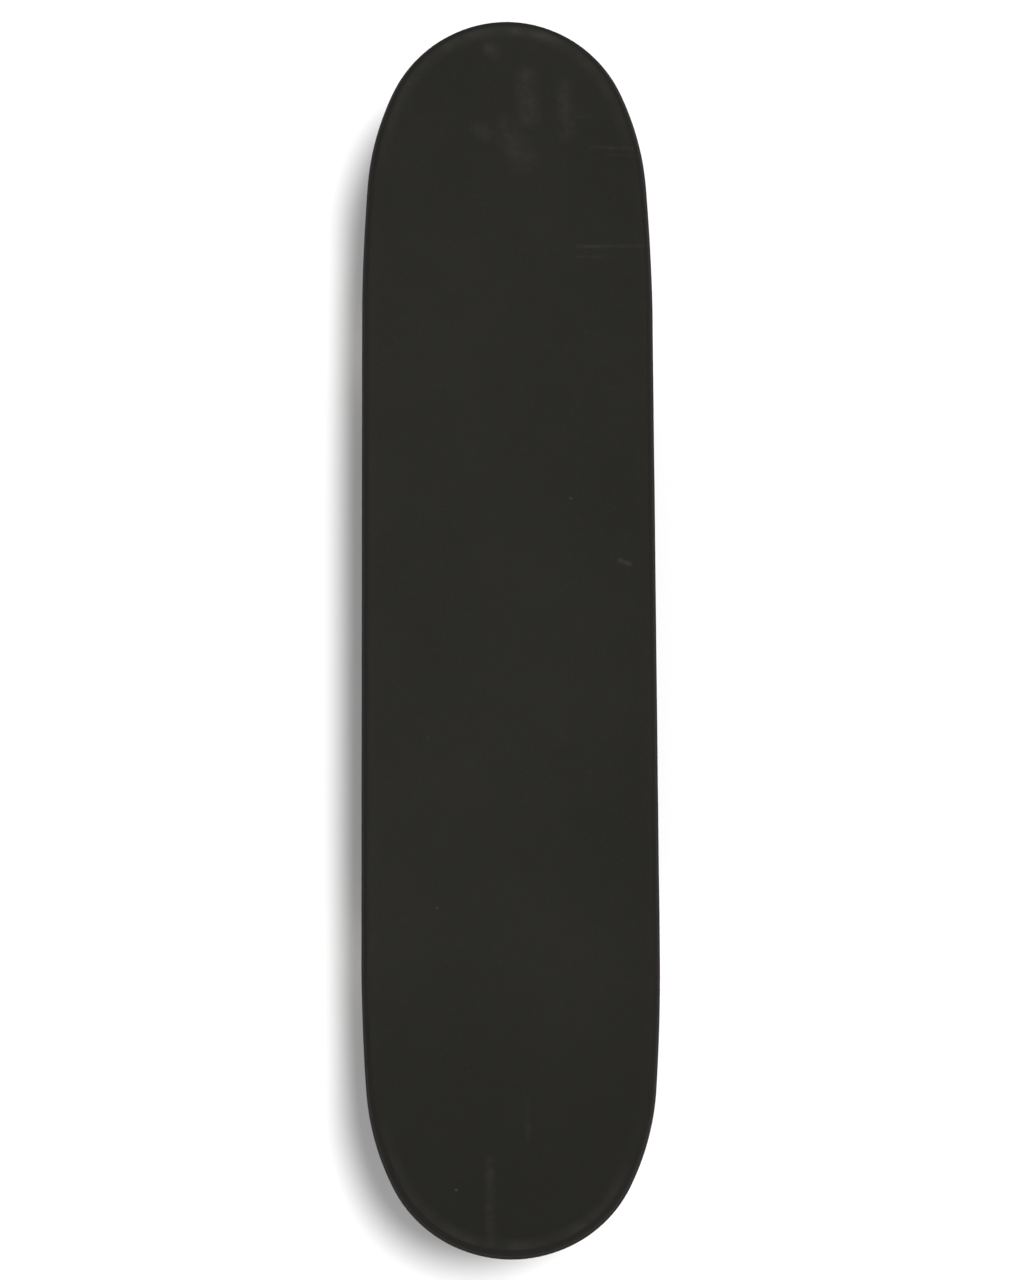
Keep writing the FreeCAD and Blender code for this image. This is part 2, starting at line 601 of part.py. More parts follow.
def truck_parts():
    """Everything on one truck but its wheels, by name."""
    barrel, taper = bushings()
    cup_washer, flat_washer = washers()
    nut_seat = RING + DOWN_KINGPIN * (RING_THICKNESS / 2 + UPPER_BUSHING + WASHER)
    stack = axle_stack()
    nuts, rings = [], []
    for side in (-1, 1):
        out = V(0, side, 0)
        nuts.append(lock_nut(AXLE_NUT_FLATS, AXLE_NUT, AXLE_RADIUS, AXLE + out * stack["nut"], out))
        for place in ("inner_ring", "outer_ring"):
            start = AXLE + out * stack[place]
            rings.append(tube(AXLE_RADIUS + SPEED_RING_GAP, INNER_LAND, SPEED_RING, start, out))
    return {
        "baseplate": baseplate(),
        "pivot_cup": pivot_cup(),
        "kingpin": kingpin(),
        "kingpin_nut": lock_nut(KINGPIN_FLATS, KINGPIN_NUT, KINGPIN_RADIUS, nut_seat, DOWN_KINGPIN),
        "cup_washer": cup_washer,
        "board_side_bushing": barrel,
        "road_side_bushing": taper,
        "flat_washer": flat_washer,
        "hanger": hanger(),
        "axle": axle(),
        "axle_nuts": as_group(nuts),
        "speed_rings": as_group(rings),
    }


# ---------------------------------------------------------------- wheel, along +Z from its inner bearing
def wheel():
    """A urethane wheel: rounded tread corners, two bearing seats with a land between, dished sides."""
    total = 2 * BEARING_WIDTH + SPACER_LENGTH
    overhang = (WHEEL_WIDTH - total) / 2
    half = [
        (SEAT_LAND_RADIUS, BEARING_WIDTH),
        (BEARING_OUTER, BEARING_WIDTH),
        (BEARING_OUTER, 0),
        (SEAT_EDGE_RADIUS, 0),
        (DISH_RADIUS, -overhang, DISH_ROUND),
        (WHEEL_RADIUS - TREAD_BEVEL, -overhang, FACE_ROUND),
        (WHEEL_RADIUS, TREAD_BEVEL_WIDTH - overhang, TREAD_ROUND),
    ]
    mirrored = [(corner[0], total - corner[1], *corner[2:]) for corner in reversed(half)]
    return turned(half + mirrored)


def ball_centres(middle):
    turns = [2 * math.pi * i / BALLS for i in range(BALLS)]
    return [V(BALL_CIRCLE * math.cos(t), BALL_CIRCLE * math.sin(t), middle) for t in turns]


def cage_and_balls(middle, outward):
    """A crown cage with a pocket round each ball, open to one side, and the balls."""
    low = middle - (CAGE_BACK if outward > 0 else CAGE_FRONT)
    cage = tube(CAGE_INNER, CAGE_OUTER, CAGE_BACK + CAGE_FRONT, V(0, 0, low))
    centres = ball_centres(middle)
    pockets = [Part.makeSphere(BALL_RADIUS + CAGE_POCKET_GAP, centre) for centre in centres]
    balls = [Part.makeSphere(BALL_RADIUS, centre) for centre in centres]
    return [cage.cut(Part.Compound(pockets))] + balls


def bearing_parts():
    """Both bearings of a wheel: what spins with it, what stays on the axle, and the balls between."""
    parts = {"outer_races": [], "inner_races": [], "bearing_shields": [], "ball_cages": []}
    for start, outward in ((0, -1), (BEARING_WIDTH + SPACER_LENGTH, 1)):
        base = V(0, 0, start)
        middle = start + BEARING_WIDTH / 2
        groove = Part.makeTorus(BALL_CIRCLE, GROOVE_RADIUS, V(0, 0, middle))
        parts["outer_races"].append(tube(OUTER_LAND, BEARING_OUTER, BEARING_WIDTH, base).cut(groove))
        parts["inner_races"].append(tube(BEARING_BORE, INNER_LAND, BEARING_WIDTH, base).cut(groove))
        for place in (SHIELD_DEPTH, BEARING_WIDTH - SHIELD_DEPTH - SHIELD):
            shield = tube(INNER_LAND + SHIELD_GAP, OUTER_LAND, SHIELD, base + V(0, 0, place))
            parts["bearing_shields"].append(shield)
        parts["ball_cages"] += cage_and_balls(middle, outward)
    return {name: as_group(shapes) for name, shapes in parts.items()}


def wheel_parts():
    parts = {"wheel": wheel()}
    parts.update(bearing_parts())
    spacer_start = V(0, 0, BEARING_WIDTH)
    parts["bearing_spacer"] = tube(AXLE_RADIUS + SPACER_GAP, SPACER_OUTER, SPACER_LENGTH, spacer_start)
    return parts


# ---------------------------------------------------------------- the whole board
def export(parts):
    os.makedirs("parts", exist_ok=True)
    for name, shape in parts.items():
        bad = [solid for solid in shape.Solids if not solid.isValid() or solid.Volume <= 0]
        print(f"{name}: {len(shape.Solids)} solids, {len(bad)} bad, {shape.Volume / 1000:.2f} cm3")
        shape.exportStep(f"parts/{name}.step")


def main():
    parts = deck_parts()
    parts.update(truck_bolt_parts())
    on_truck, on_wheel = truck_parts(), wheel_parts()
    outward = axle_stack()["inner_bearing"]
    for end, place, turn in (("front", FRONT_X, 180), ("rear", REAR_X, 0)):
        seat = FreeCAD.Placement(V(place, 0, DECK_BOTTOM_Z), FreeCAD.Rotation(V(0, 0, 1), turn))
        for name, shape in on_truck.items():
            parts[f"{end}_{name}"] = shape.transformed(seat.toMatrix())
        for side_name, side in (("left", 1), ("right", -1)):
            hub = FreeCAD.Placement(
                V(place, side * outward, WHEEL_RADIUS), FreeCAD.Rotation(V(0, 0, 1), V(0, side, 0))
            )
            for name, shape in on_wheel.items():
                parts[f"{end}_{side_name}_{name}"] = shape.transformed(hub.toMatrix())
    export(parts)


main()
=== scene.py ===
"""Looks for the skateboard: grip tape, stained plies, cast trucks and urethane wheels round the CAD frame."""

import math

import bpy
import numpy as np
from mathutils import Matrix, Vector, noise


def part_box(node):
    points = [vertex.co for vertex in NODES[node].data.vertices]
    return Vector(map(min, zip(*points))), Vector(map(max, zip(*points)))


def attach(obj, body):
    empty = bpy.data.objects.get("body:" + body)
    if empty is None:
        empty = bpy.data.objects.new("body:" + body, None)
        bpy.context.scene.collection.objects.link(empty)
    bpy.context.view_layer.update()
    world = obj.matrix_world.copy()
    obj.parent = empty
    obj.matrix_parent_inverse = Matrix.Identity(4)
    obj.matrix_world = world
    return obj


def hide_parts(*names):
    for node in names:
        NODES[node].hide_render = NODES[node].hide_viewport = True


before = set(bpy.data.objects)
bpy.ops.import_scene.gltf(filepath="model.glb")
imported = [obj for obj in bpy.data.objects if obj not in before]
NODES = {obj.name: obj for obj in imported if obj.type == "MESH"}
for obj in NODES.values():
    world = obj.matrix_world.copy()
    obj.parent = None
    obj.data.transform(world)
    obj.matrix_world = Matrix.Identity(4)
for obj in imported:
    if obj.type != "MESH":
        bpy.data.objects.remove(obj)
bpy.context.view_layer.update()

MM = 0.001

# ---------------------------------------------------------------- deck sizes, in metres
PLY = 1.5 * MM
PLIES = 7
HALF_WIDTH = 93.5 * MM
TIP_REACH = 406.0 * MM
TIP_RADIUS = 81.0 * MM
TIP_TURN = math.radians(64.5)
SHOULDER_TURN = math.radians(64.5 + 20.8)
SIDE_RADIUS = 1080.0 * MM
CUP_FLAT = 30.0 * MM
CUP_RISE = 9.0 * MM
KICK = math.radians(20.0)
KICK_RADIUS = 145.0 * MM
NOSE_BEND = 237.8 * MM
TAIL_BEND = 245.8 * MM
EDGE_ROUND = 2.2 * MM
GRIP = 0.8 * MM
GRIP_SETBACK = 2.0 * MM
DENT_PLACE = 0.0917  # along the deck, on its left edge
DECK_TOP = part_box("grip_tape")[0].z
DECK_BOTTOM = DECK_TOP - PLIES * PLY
CUP_REACH = HALF_WIDTH - CUP_FLAT
CUP_RADIUS = (CUP_REACH**2 + CUP_RISE**2) / (2 * CUP_RISE)
SHOULDER_REACH = HALF_WIDTH - TIP_RADIUS * math.sin(TIP_TURN) - SIDE_RADIUS * (1 - math.sin(SHOULDER_TURN))
SHOULDER_RADIUS = SHOULDER_REACH / (math.sin(SHOULDER_TURN) - math.sin(TIP_TURN))

# ---------------------------------------------------------------- truck sizes, in metres
TRUCKS = {"front": (200.8 * MM, -1), "rear": (-208.8 * MM, 1)}
WHEEL_SIDES = {"left": 1, "right": -1}
AXLE_Z = 26.0 * MM
RAKE = math.radians(25.0)
RING = Vector((18.0, 0, -42.0)) * MM
DOWN_KINGPIN = Vector((math.sin(RAKE), 0, -math.cos(RAKE)))
BOLT_HALF_LENGTH = 27 * MM
BOLT_HALF_WIDTH = 20.65 * MM
WHEEL_INNER_BEARING = 62.5 * MM  # from the middle of the board to each wheel's inner bearing

# ---------------------------------------------------------------- rod sizes, in millimetres
AXLE_DROP = -53
AXLE_LENGTH = 190.4
AXLE_RADIUS = 3.97
KINGPIN_RADIUS = 4.76
KINGPIN_FLATS = 14.3
THREAD_PITCH = 1.06


# ================================================================ node graphs
class Graph:
    """A material's node tree, with one short call for each kind of node."""

    def __init__(self, name):
        self.material = bpy.data.materials.new(name)
        self.material.use_nodes = True
        self.tree = self.material.node_tree
        self.tree.nodes.clear()
        output = self.node("ShaderNodeOutputMaterial")
        self.shader = self.node("ShaderNodeBsdfPrincipled")
        self.link(self.shader.outputs[0], output.inputs["Surface"])
        self.place = self.node("ShaderNodeTexCoord").outputs["Object"]

    def node(self, kind, **settings):
        made = self.tree.nodes.new(kind)
        for key, value in settings.items():
            setattr(made, key, value)
        return made

    def link(self, source, target):
        self.tree.links.new(source, target)

    def feed(self, socket, value):
        if isinstance(value, bpy.types.NodeSocket):
            self.link(value, socket)
        elif value is not None:
            if hasattr(socket, "default_value") and isinstance(value, (tuple, list)) and len(value) == 3:
                value = (*value, 1.0) if len(socket.default_value) == 4 else value
            socket.default_value = value

    def set(self, **values):
        """Sets the shader's own inputs; an underscore stands for a space."""
        for key, value in values.items():
            self.feed(self.shader.inputs[key.replace("_", " ")], value)

    def math(self, operation, a, b=None, clamp=False):
        made = self.node("ShaderNodeMath", operation=operation, use_clamp=clamp)
        self.feed(made.inputs[0], a)
        self.feed(made.inputs[1], b)
        return made.outputs[0]

    def vector(self, operation, a, b=None, scale=None):
        made = self.node("ShaderNodeVectorMath", operation=operation)
        self.feed(made.inputs[0], a)
        self.feed(made.inputs[1], b)
        if scale is not None:
            self.feed(made.inputs["Scale"], scale)
        gives_a_number = operation in ("LENGTH", "DOT_PRODUCT")
        return made.outputs["Value"] if gives_a_number else made.outputs[0]

    def split(self, vector):
        return self.node_outputs("ShaderNodeSeparateXYZ", vector)

    def node_outputs(self, kind, value):
        made = self.node(kind)
        self.link(value, made.inputs[0])
        return made.outputs

    def combine(self, x, y, z):
        made = self.node("ShaderNodeCombineXYZ")
        for socket, value in zip(made.inputs, (x, y, z)):
            self.feed(socket, value)
        return made.outputs[0]

    def stretched(self, factors, source=None):
        return self.vector("MULTIPLY", source or self.place, factors)

    def noise(self, scale, detail=2.0, rough=0.5, source=None, distortion=0.0):
        made = self.node("ShaderNodeTexNoise")
        self.link(source or self.place, made.inputs["Vector"])
        made.inputs["Scale"].default_value = scale
        made.inputs["Detail"].default_value = detail
        made.inputs["Roughness"].default_value = rough
        made.inputs["Distortion"].default_value = distortion
        return made.outputs["Fac"]

    def cells(self, scale, source=None, feature="F1", output="Distance"):
        made = self.node("ShaderNodeTexVoronoi", feature=feature)
        self.link(source or self.place, made.inputs["Vector"])
        made.inputs["Scale"].default_value = scale
        return made.outputs[output]

    def span(self, value, low, high, to_low=0.0, to_high=1.0):
        made = self.node("ShaderNodeMapRange")
        made.clamp = True
        for name, number in (("From Min", low), ("From Max", high), ("To Min", to_low), ("To Max", to_high)):
            made.inputs[name].default_value = number
        self.feed(made.inputs["Value"], value)
        return made.outputs[0]

    def mix(self, factor, a, b, blend="MIX"):
        made = self.node("ShaderNodeMix", data_type="RGBA", blend_type=blend)
        self.feed(made.inputs[0], factor)
        self.feed(made.inputs[6], a)
        self.feed(made.inputs[7], b)
        return made.outputs[2]

    def attribute(self, name, output="Fac"):
        return self.node("ShaderNodeAttribute", attribute_name=name).outputs[output]

    def bump(self, height, distance, strength=1.0, normal=None):
        made = self.node("ShaderNodeBump")
        self.feed(made.inputs["Height"], height)
        made.inputs["Distance"].default_value = distance
        made.inputs["Strength"].default_value = strength
        if normal is not None:
            self.link(normal, made.inputs["Normal"])
        return made.outputs[0]

    def rounded(self, radius):
        """A normal that rounds the solid's sharp edges by this much."""
        made = self.node("ShaderNodeBevel", samples=4)
        made.inputs["Radius"].default_value = radius
        return made.outputs[0]

    def stroke(self, start, end, width):
        """1 on a straight mark between two points of the flat deck, falling to 0 at its width."""
        across = self.vector("SUBTRACT", self.sheet, (*start, 0))
        run = (end[0] - start[0], end[1] - start[1], 0)
        length2 = run[0] ** 2 + run[1] ** 2
        share = self.math("DIVIDE", self.vector("DOT_PRODUCT", across, run), length2, clamp=True)
        nearest = self.vector("SCALE", run, scale=share)
        away = self.vector("LENGTH", self.vector("SUBTRACT", across, nearest))
        return self.span(away, width, 0.0)


# ================================================================ mesh helpers
def new_object(name, points, faces, smooth_below=None):
    mesh = bpy.data.meshes.new(name)
    mesh.from_pydata([tuple(p) for p in points], [], faces)
    mesh.validate()
    mesh.update()
    obj = bpy.data.objects.new(name, mesh)
    bpy.context.scene.collection.objects.link(obj)
    if smooth_below is not None:
        mesh.shade_smooth()
        mesh.set_sharp_from_angle(angle=math.radians(smooth_below))
    return obj


def dress(obj, material):
    obj.data.materials.clear()
    obj.data.materials.append(material)


def rounded_profile(corners, steps=6):
    """(radius, height) points of a closed profile whose corners may carry a rounding radius."""
    points = []
    for i, corner in enumerate(corners):
        here = Vector(corner[:2])
        if len(corner) < 3:
            points.append(here)
            continue
        back = (Vector(corners[i - 1][:2]) - here).normalized()
        ahead = (Vector(corners[(i + 1) % len(corners)][:2]) - here).normalized()
        half = back.angle(ahead) / 2
        entry = here + back * corner[2] / math.tan(half)
        leave = here + ahead * corner[2] / math.tan(half)
        centre = here + (back + ahead).normalized() * corner[2] / math.sin(half)
        for step in range(steps + 1):
            chord = entry.lerp(leave, step / steps) - centre
            points.append(centre + chord.normalized() * corner[2])
    return points


def frame_at(start, direction):
    """A matrix that carries +Z to direction and the origin to start."""
    turn = Vector((0, 0, 1)).rotation_difference(Vector(direction).normalized()).to_matrix().to_4x4()
    return Matrix.Translation(start) @ turn


def turned(profile, place, segments=96):
    """Points and faces of a closed profile turned about the local Z axis, heights and radii in mm."""
    points, faces = [], []
    count = len(profile)
    for turn in range(segments):
        angle = 2 * math.pi * turn / segments
        for radius, height in profile:
            local = Vector((radius * math.cos(angle), radius * math.sin(angle), height)) * MM
            points.append(place @ local)
        following = (turn + 1) % segments
        for i in range(count):
            j = (i + 1) % count
            faces.append((turn * count + i, following * count + i, following * count + j, turn * count + j))
    return points, faces


def joined(parts):
    points, faces = [], []
    for more_points, more_faces in parts:
        base = len(points)
        points += more_points
        faces += [tuple(base + i for i in face) for face in more_faces]
    return points, faces


def threaded_rod(place, radius, length, threads, pitch, depth, chamfer=0.6, segments=48):
    """A solid rod with a helical thread on stretches (start, end) of its length, all in mm."""
    stations = {0.0, chamfer, length - chamfer, length}
    for start, end in threads:
        count = max(int((end - start) / pitch * 6), 2)
        stations |= {round(start + (end - start) * i / count, 4) for i in range(count + 1)}
    stations = sorted(stations)
    points, faces = [], []
    for height in stations:
        for i in range(segments):
            angle = 2 * math.pi * i / segments
            size = radius
            for start, end in threads:
                if start - 1e-6 <= height <= end + 1e-6:
                    phase = (height / pitch - i / segments) % 1.0
                    size -= depth * abs(2 * phase - 1)
            size -= max(chamfer - height, 0) + max(height - (length - chamfer), 0)
            points.append(place @ (Vector((size * math.cos(angle), size * math.sin(angle), height)) * MM))
    for row in range(len(stations) - 1):
        for i in range(segments):
            j = (i + 1) % segments
            low, high = row * segments, (row + 1) * segments
            faces.append((low + i, low + j, high + j, high + i))
    faces.append(tuple(reversed(range(segments))))
    faces.append(tuple(range((len(stations) - 1) * segments, len(stations) * segments)))
    return points, faces


def prism(place, flats, height, chamfer=0.5):
    """A hexagonal prism with its far edge chamfered, sizes in mm."""
    points, faces = [], []
    corner = flats / math.sqrt(3)
    for level, size in ((0, corner), (height - chamfer, corner), (height, corner - chamfer)):
        for i in range(6):
            angle = math.radians(60 * i)
            points.append(place @ (Vector((size * math.cos(angle), size * math.sin(angle), level)) * MM))
    for level in (0, 1):
        for i in range(6):
            j = (i + 1) % 6
            faces.append((level * 6 + i, level * 6 + j, level * 6 + 6 + j, level * 6 + 6 + i))
    faces.append(tuple(reversed(range(6))))
    faces.append(tuple(range(12, 18)))
    return points, faces


# ================================================================ the deck's flat pattern
def deck_points(u, v, depth):
    """Row-frame points for distances along and across the deck and depths below its top veneer."""
    side = np.where(u > 0, 1.0, -1.0)
    bend = np.where(u > 0, NOSE_BEND, TAIL_BEND)
    past = np.maximum(np.abs(u) - bend, 0)
    turn = np.minimum(past / KICK_RADIUS, KICK)
    straight = np.maximum(past - KICK_RADIUS * KICK, 0)
    spine_x = np.minimum(np.abs(u), bend) + KICK_RADIUS * np.sin(turn) + straight * math.cos(KICK)
    spine_z = KICK_RADIUS * (1 - np.cos(turn)) + straight * math.sin(KICK)
    lean = np.arcsin(np.maximum(np.abs(v) - CUP_FLAT, 0) / CUP_RADIUS)
    rise = CUP_RADIUS * (1 - np.cos(lean))
    lift = rise - depth * np.cos(lean)
    x = side * (spine_x - np.sin(turn) * lift)
    y = v + np.sign(v) * np.sin(lean) * depth
    z = DECK_TOP + spine_z + np.cos(turn) * lift
    return np.stack([x, y, z], -1)


class Pattern:
    """A grid over the deck's flat outline, and the list of its rim points with their outward normals."""

    def __init__(self, tip_steps, shoulder_steps, side_steps, middle_steps, columns, extra_rows=()):
        first = 0.06
        angles = np.concatenate(
            [
                np.linspace(first, TIP_TURN, tip_steps),
                np.linspace(TIP_TURN, SHOULDER_TURN, shoulder_steps + 1)[1:],
                np.linspace(SHOULDER_TURN, math.pi / 2, side_steps + 1)[1:],
            ]
        )
        arcs = (
            (TIP_RADIUS, 0, TIP_TURN),
            (SHOULDER_RADIUS, TIP_TURN, SHOULDER_TURN),
            (SIDE_RADIUS, SHOULDER_TURN, math.pi / 2),
        )
        back, half = np.zeros_like(angles), np.zeros_like(angles)
        for radius, start, stop in arcs:
            reached = np.clip(angles, start, stop)
            back += radius * (math.cos(start) - np.cos(reached))
            half += radius * (np.sin(reached) - math.sin(start))
        straight = TIP_REACH - back[-1]
        even = np.linspace(straight, -straight, middle_steps + 1)[1:-1].round(5)
        middle = np.array(sorted({*even, *extra_rows}, reverse=True))
        level = np.full(len(middle), math.pi / 2)
        self.u = np.concatenate([TIP_REACH - back, middle, (back - TIP_REACH)[::-1]])
        self.half = np.concatenate([half, np.full(len(middle), HALF_WIDTH), half[::-1]])
        self.angle = np.concatenate([angles, level, (math.pi - angles)[::-1]])
        self.rows, self.columns = len(self.u), columns + 1
        self.share = np.linspace(-1, 1, self.columns)
        last = self.rows - 1
        self.rim = (
            [(0, j) for j in range(self.columns)]
            + [(k, columns) for k in range(1, self.rows)]
            + [(last, j) for j in range(columns - 1, -1, -1)]
            + [(k, 0) for k in range(last - 1, 0, -1)]
        )
        self.rim_u, self.rim_v, self.normal_u, self.normal_v = (np.zeros(len(self.rim)) for _ in range(4))
        for i, (k, j) in enumerate(self.rim):
            if k in (0, last):
                tilt = first * self.share[j]
                sign = 1 if k == 0 else -1
                self.rim_u[i] = sign * (TIP_REACH - TIP_RADIUS * (1 - math.cos(tilt)))
                self.rim_v[i] = TIP_RADIUS * math.sin(tilt)
                self.normal_u[i], self.normal_v[i] = sign * math.cos(tilt), math.sin(tilt)
            else:
                side = 1 if j else -1
                self.rim_u[i], self.rim_v[i] = self.u[k], side * self.half[k]
                self.normal_u[i], self.normal_v[i] = math.cos(self.angle[k]), side * math.sin(self.angle[k])

    def inset(self, amount):
        return self.rim_u - amount * self.normal_u, self.rim_v - amount * self.normal_v

    def grid(self, amount):
        """Flat coordinates of every grid point, with the rim moved in by amount."""
        rim_u, rim_v = self.inset(amount)
        u, v = np.zeros((self.rows, self.columns)), np.zeros((self.rows, self.columns))
        for i, (k, j) in enumerate(self.rim):
            u[k, j], v[k, j] = rim_u[i], rim_v[i]
        mixing = (self.share + 1) / 2
        bulged = 8
        for k in range(1, self.rows - 1):
            u[k] = u[k, 0] + (u[k, -1] - u[k, 0]) * mixing
            v[k] = v[k, 0] + (v[k, -1] - v[k, 0]) * mixing
            from_end = min(k, self.rows - 1 - k)
            if from_end < bulged:
                sign = 1 if k < self.rows / 2 else -1
                sag = TIP_RADIUS * (np.cos(v[k] / TIP_RADIUS) - np.cos(v[k, -1] / TIP_RADIUS))
                u[k] += sign * sag * (1 - from_end / bulged)
        return u, v

    def to_rim(self, u, v):
        """Distance of each point from the untrimmed outline."""
        flat = np.stack([u.ravel(), v.ravel()], -1)
        rim = np.stack([self.rim_u, self.rim_v], -1)
        nearest = np.empty(len(flat))
        for start in range(0, len(flat), 4000):
            part = flat[start : start + 4000, None] - rim[None]
            nearest[start : start + 4000] = np.sqrt((part**2).sum(-1)).min(1)
        return nearest

    def slab(self, name, top, bottom, rings, lift=None):
        """A closed sheet between two depths. top, bottom and each ring are (depth, inset along the rim)."""
        blocks, sheets = [], []
        for depth, amount in (top, bottom):
            u, v = self.grid(amount)
            level = np.full(u.shape, depth)
            if lift is not None and depth == top[0]:
                level = level + lift(u, v)
            blocks.append(deck_points(u, v, level).reshape(-1, 3))
            sheets.append(np.stack([u, v, level], -1).reshape(-1, 3))
        for depth, amount in rings:
            u, v = self.inset(amount)
            level = np.full(u.shape, depth)
            blocks.append(deck_points(u, v, level))
            sheets.append(np.stack([u, v, level], -1))
        points, sheet = np.concatenate(blocks), np.concatenate(sheets)
        size = self.rows * self.columns
        faces = []
        for k in range(self.rows - 1):
            for j in range(self.columns - 1):
                a, b = k * self.columns + j, k * self.columns + j + 1
                c, d = b + self.columns, a + self.columns
                faces.append((a, b, c, d))
                faces.append((size + d, size + c, size + b, size + a))
        count = len(self.rim)
        loops = [[k * self.columns + j for k, j in self.rim]]
        loops += [[2 * size + ring * count + i for i in range(count)] for ring in range(len(rings))]
        loops += [[size + k * self.columns + j for k, j in self.rim]]
        for upper, lower in zip(loops, loops[1:]):
            for i in range(count):
                j = (i + 1) % count
                faces.append((upper[i], lower[i], lower[j], upper[j]))
        obj = new_object(name, points, faces, smooth_below=35)
        mesh = obj.data
        flat_place = mesh.attributes.new("sheet", "FLOAT_VECTOR", "POINT")
        flat_place.data.foreach_set("vector", sheet.astype(np.float32).ravel())
        rim = self.to_rim(sheet[:, 0], sheet[:, 1]).astype(np.float32)
        mesh.attributes.new("rim", "FLOAT", "POINT").data.foreach_set("value", rim)
        return obj


def rim_wobble(pattern, amount, grain, seed):
    """A smooth random inset round the rim, never less than zero."""
    values = []
    for u, v in zip(pattern.rim_u, pattern.rim_v):
        values.append(noise.noise(Vector((u / grain, v / grain, seed * 7.3))))
    return amount * (np.array(values) + 1) / 2


# ================================================================ materials
def grip_material():
    g = Graph("grip_tape_look")
    g.sheet = g.attribute("sheet", "Vector")
    grains = g.cells(1900.0)
    fine = g.noise(2600.0, 2.0, 0.6)
    patches = g.noise(9.0, 4.0, 0.55)
    cloud = g.noise(46.0, 3.0, 0.6)
    base = g.mix(g.span(grains, 0.15, 0.7), (0.0139, 0.0134, 0.0100), (0.0055, 0.0053, 0.0035))
    base = g.mix(g.span(fine, 0.35, 0.75), base, (0.0118, 0.0114, 0.0084))
    base = g.mix(g.span(patches, 0.3, 0.7, 0.0, 0.22), base, (0.0190, 0.0183, 0.0150))
    base = g.mix(g.span(cloud, 0.45, 0.75, 0.0, 0.14), base, (0.0066, 0.0064, 0.0050))
    along = g.math("ABSOLUTE", g.split(g.sheet)[0])
    # Painted shade: the tape's colour is made darker towards the nose end.
    nose_end_shade = g.span(g.split(g.sheet)[0], 0.20, 0.40, 0.0, 0.48)
    base = g.mix(nose_end_shade, base, (0.0030, 0.0028, 0.0022))
    broken = g.span(g.noise(110.0, 8.0, 0.74), 0.34, 0.72)
    marks = None
    scuffs = (
        ((-0.4000, 0.0060), (-0.3960, 0.0320), 0.0034, 0.26),
        ((-0.3890, -0.0100), (-0.3870, -0.0085), 0.0070, 0.22),
        ((-0.3700, 0.0130), (-0.3440, 0.0150), 0.0095, 0.21),
        ((-0.3630, 0.0385), (-0.3340, 0.0395), 0.0075, 0.18),
        ((-0.3360, -0.0180), (-0.3340, -0.0130), 0.0075, 0.18),
        ((-0.3350, 0.0000), (-0.3170, 0.0100), 0.0130, 0.15),
        ((-0.3450, 0.0340), (-0.3445, 0.0560), 0.0016, 0.14),
        ((-0.3245, 0.0560), (-0.3235, 0.0850), 0.0017, 0.28),
        ((-0.3195, 0.0660), (-0.3190, 0.0890), 0.0012, 0.16),
        ((-0.2590, 0.0460), (-0.2575, 0.0910), 0.0018, 0.28),
        ((-0.2520, 0.0460), (-0.2512, 0.0640), 0.0015, 0.16),
        ((-0.0475, 0.0725), (-0.0445, 0.0790), 0.0024, 0.42),
        ((-0.0897, 0.0408), (-0.0893, 0.0414), 0.0011, 1.00),
        ((0.0676, -0.0529), (0.0680, -0.0525), 0.0010, 0.90),
        ((0.1782, -0.0473), (0.1786, -0.0469), 0.0011, 0.90),
        ((0.3632, -0.0350), (0.3636, -0.0346), 0.0012, 0.90),
        ((0.3440, -0.0138), (0.3980, -0.0134), 0.0045, 0.17),
        ((0.3000, 0.0100), (0.3300, 0.0105), 0.0030, 0.10),
    )
    for start, end, width, strength in scuffs:
        small = math.dist(start, end) < 0.001
        mark = g.stroke(start, end, width)
        mark = g.math("MULTIPLY", mark, strength)
        if not small:
            mark = g.math("MULTIPLY", mark, broken)
        marks = mark if marks is None else g.math("MAXIMUM", marks, mark)
    base = g.mix(marks, base, (0.085, 0.081, 0.072))
    rim = g.attribute("rim")
    # A paler band just inside the tape's cut edge, broken up by noise and strongest towards the two tips.
    band = g.math("MULTIPLY", g.span(rim, 0.0024, 0.0036), g.span(rim, 0.0110, 0.0058))
    pale_rim_band = g.math("MULTIPLY", band, g.span(g.noise(60.0, 3.0), 0.35, 0.65, 0.35, 1.0))
    pale_rim_band = g.math("MULTIPLY", pale_rim_band, g.span(along, 0.31, 0.395, 0.08, 1.0))
    base = g.mix(g.math("MULTIPLY", pale_rim_band, 0.28), base, (0.040, 0.039, 0.035))
    glint = g.span(g.cells(1300.0, output="Color"), 0.93, 1.0)
    g.set(
        Base_Color=base,
        Roughness=g.math("SUBTRACT", g.span(fine, 0.2, 0.8, 0.82, 0.97), g.math("MULTIPLY", glint, 0.45)),
        Specular_IOR_Level=0.22,
        Normal=g.bump(g.math("ADD", grains, fine), 0.00022, 0.75),
    )
    return g.material


